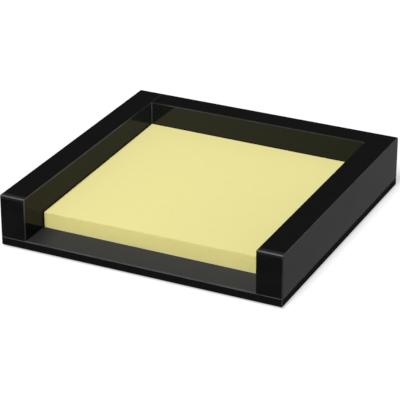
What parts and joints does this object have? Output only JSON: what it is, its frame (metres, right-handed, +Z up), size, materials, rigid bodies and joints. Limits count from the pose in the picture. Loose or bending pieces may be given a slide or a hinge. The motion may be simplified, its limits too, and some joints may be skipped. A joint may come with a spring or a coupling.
{
  "type": "note box",
  "caption": "Low square desk tray for sticky notes: thick black acrylic walls on a thin base plate, open at the front so a finger can lift a sheet, with a pad lying in it.",
  "frame": {"origin": "middle of the box's footprint, on the surface that its feet stand on", "axes": "+X to the right seen from the open front, +Y towards the back wall, +Z up"},
  "size_m": [0.096, 0.0954, 0.0179],
  "materials": {
    "gloss_acrylic": "gloss",
    "satin_acrylic": "satin",
    "note_paper": "matte",
    "foot_rubber": "matte"
  },
  "bodies": {
    "root": {"base_plate": "satin_acrylic", "left_wall": "gloss_acrylic", "right_wall": "gloss_acrylic", "back_wall": "gloss_acrylic", "note_pad": "note_paper", "front_left_foot": "foot_rubber", "front_right_foot": "foot_rubber", "back_left_foot": "foot_rubber", "back_right_foot": "foot_rubber"}
  },
  "joints": []
}
